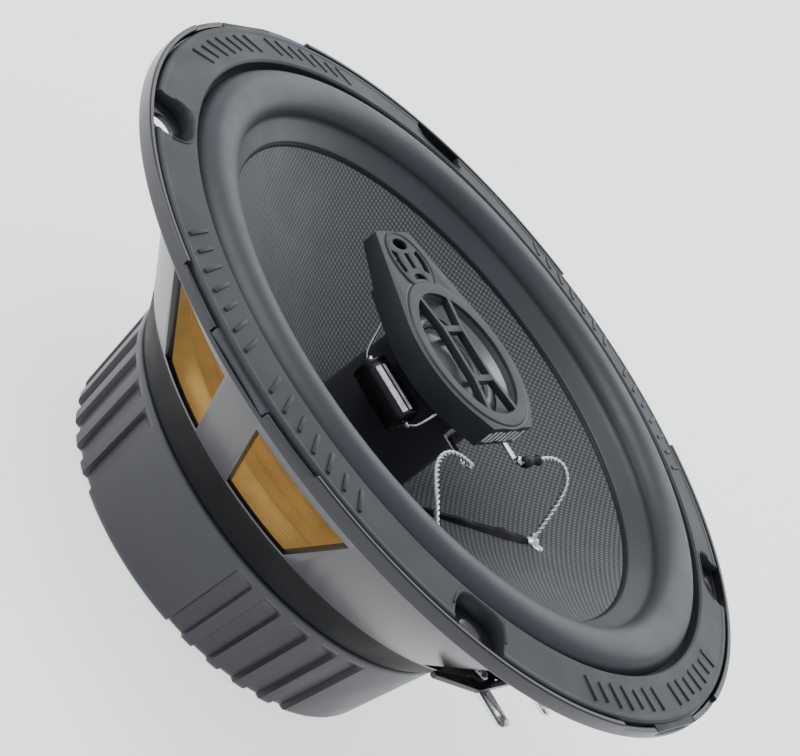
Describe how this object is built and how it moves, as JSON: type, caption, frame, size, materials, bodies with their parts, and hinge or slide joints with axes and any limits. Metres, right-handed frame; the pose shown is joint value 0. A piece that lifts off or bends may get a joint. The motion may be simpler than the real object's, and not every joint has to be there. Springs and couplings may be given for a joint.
{
  "type": "coaxial loudspeaker driver",
  "caption": "Coaxial car loudspeaker: pressed basket, woven cone, rubber surround, booted magnet and a post-mounted tweeter housing over the cone.",
  "frame": {"origin": "centre of the flange's rear mounting face", "axes": "+Z along the axis towards the listener, +X towards the terminals, -X towards the small end of the tweeter housing"},
  "size_m": [0.1664, 0.1664, 0.0662],
  "materials": {
    "basket_enamel": "gloss",
    "trim_plastic": "satin",
    "surround_rubber": "satin",
    "cone_weave": "satin",
    "spider_cloth": "matte",
    "black_adhesive": "gloss",
    "coil_aluminium": "satin",
    "coil_copper": "satin",
    "motor_steel": "satin",
    "ferrite": "matte",
    "boot_rubber": "satin",
    "rivet_steel": "satin",
    "post_plastic": "satin",
    "housing_plastic": "satin",
    "dome_film": "gloss",
    "piezo_brass": "satin",
    "capacitor_sleeve": "gloss",
    "tinned_wire": "satin",
    "braid": "satin",
    "sleeve_rubber": "matte",
    "board_laminate": "satin"
  },
  "bodies": {
    "chassis": {"basket": "basket_enamel", "trim_ring": "trim_plastic", "top_plate": "motor_steel", "magnet": "ferrite", "pole_yoke": "motor_steel", "basket_rivets": "rivet_steel", "magnet_cover": "boot_rubber", "tweeter_post": "post_plastic", "post_screw": "rivet_steel", "tweeter_housing": "housing_plastic", "tweeter_grille": "housing_plastic", "super_tweeter_grille": "housing_plastic", "tweeter_yoke": "motor_steel", "tweeter_magnet": "ferrite", "tweeter_pole_plate": "motor_steel", "capacitor": "capacitor_sleeve", "capacitor_adhesive": "black_adhesive", "capacitor_wires": "tinned_wire", "housing_tabs": "tinned_wire", "lead_sleeve": "sleeve_rubber", "terminal_board": "board_laminate", "terminal_large": "tinned_wire", "terminal_small": "tinned_wire", "terminal_rivets": "rivet_steel"},
    "cone_assembly": {"cone": "cone_weave", "surround": "surround_rubber", "spider": "spider_cloth", "neck_adhesive": "black_adhesive", "coil_former": "coil_aluminium", "coil_winding": "coil_copper", "lead_eyelets": "tinned_wire", "coil_wire_glue": "black_adhesive", "tweeter_lead_near": "braid", "tweeter_lead_far": "braid", "coil_lead_near": "braid", "coil_lead_far": "braid"},
    "tweeter_diaphragm": {"tweeter_dome": "dome_film", "tweeter_coil": "coil_copper", "tweeter_surround": "dome_film"},
    "super_tweeter_diaphragm": {"super_tweeter_disc": "piezo_brass", "super_tweeter_dome": "dome_film"}
  },
  "joints": [
    {"name": "cone_excursion", "type": "slide", "parent": "chassis", "child": "cone_assembly", "axis": [0, 0, 1], "range_m": [-0.004, 0.004], "stiffness_N_per_m": 2500, "deforming": ["surround", "spider", "tweeter_lead_near", "tweeter_lead_far", "coil_lead_near", "coil_lead_far"]},
    {"name": "tweeter_travel", "type": "slide", "parent": "chassis", "child": "tweeter_diaphragm", "axis": [0, 0, 1], "range_m": [-0.0002, 0.0002], "stiffness_N_per_m": 5000, "deforming": ["tweeter_surround"]},
    {"name": "super_tweeter_travel", "type": "slide", "parent": "chassis", "child": "super_tweeter_diaphragm", "axis": [0, 0, 1], "range_m": [-0.0001, 0.0001], "stiffness_N_per_m": 5000}
  ]
}
